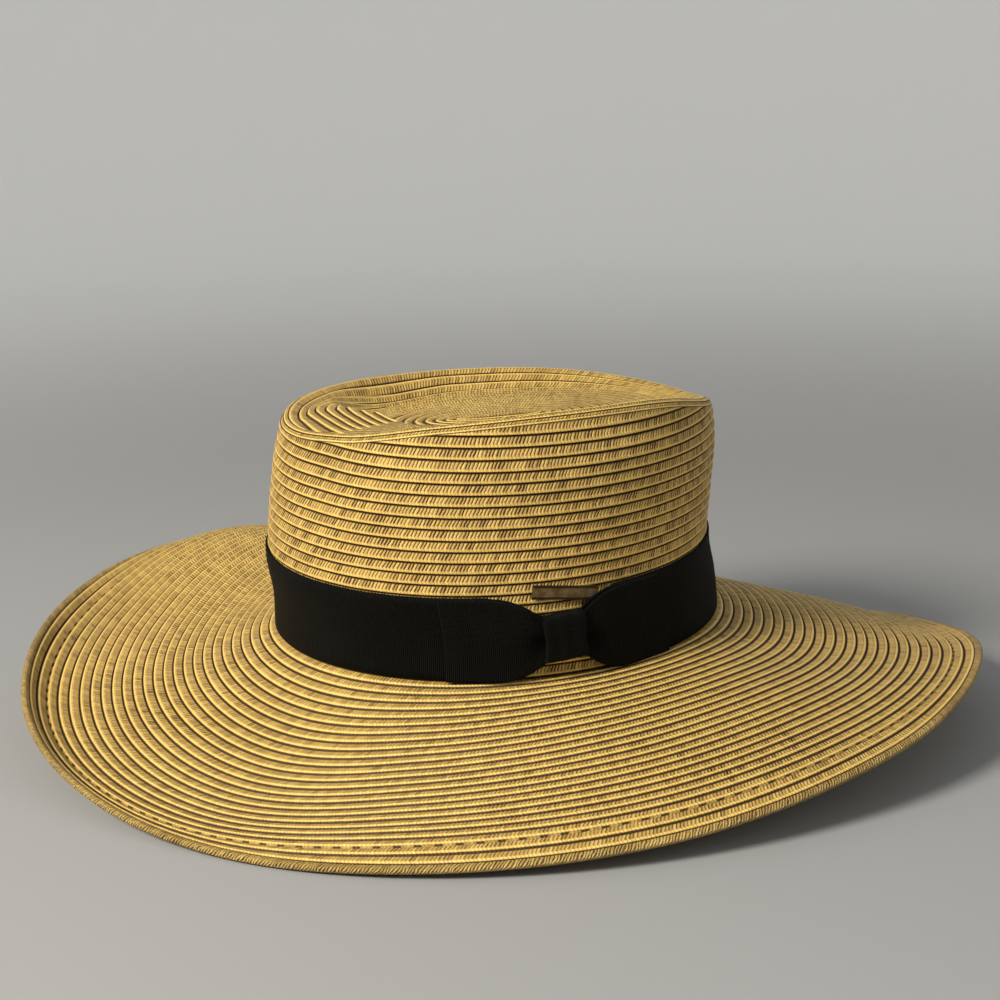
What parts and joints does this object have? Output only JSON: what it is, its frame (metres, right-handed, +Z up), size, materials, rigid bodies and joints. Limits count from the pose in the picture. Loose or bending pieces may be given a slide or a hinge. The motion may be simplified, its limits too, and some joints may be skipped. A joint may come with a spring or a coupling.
{
  "type": "straw hat",
  "caption": "Wide-brimmed straw hat of sewn braid with a dented crown, a wavy brim with a doubled edge, a dark ribbon band, a flat bow and a small metal tab.",
  "frame": {"origin": "centre of the hat's bounding box, on the floor that its brim rests on", "axes": "+Z up, -X towards the front of the hat, -Y towards the bow at its side"},
  "size_m": [0.4396, 0.4014, 0.1542],
  "materials": {
    "straw": "golden straw braid, matte with a slight gloss on the strands",
    "ribbon": "near-black ribbed ribbon, soft sheen",
    "metal": "aged brass, satin"
  },
  "bodies": {
    "root": {"crown": "straw", "brim": "straw", "brim_edge": "straw", "ribbon_band": "ribbon", "bow_loop_front": "ribbon", "bow_loop_back": "ribbon", "bow_knot": "ribbon", "tab_plate": "metal"}
  },
  "joints": []
}
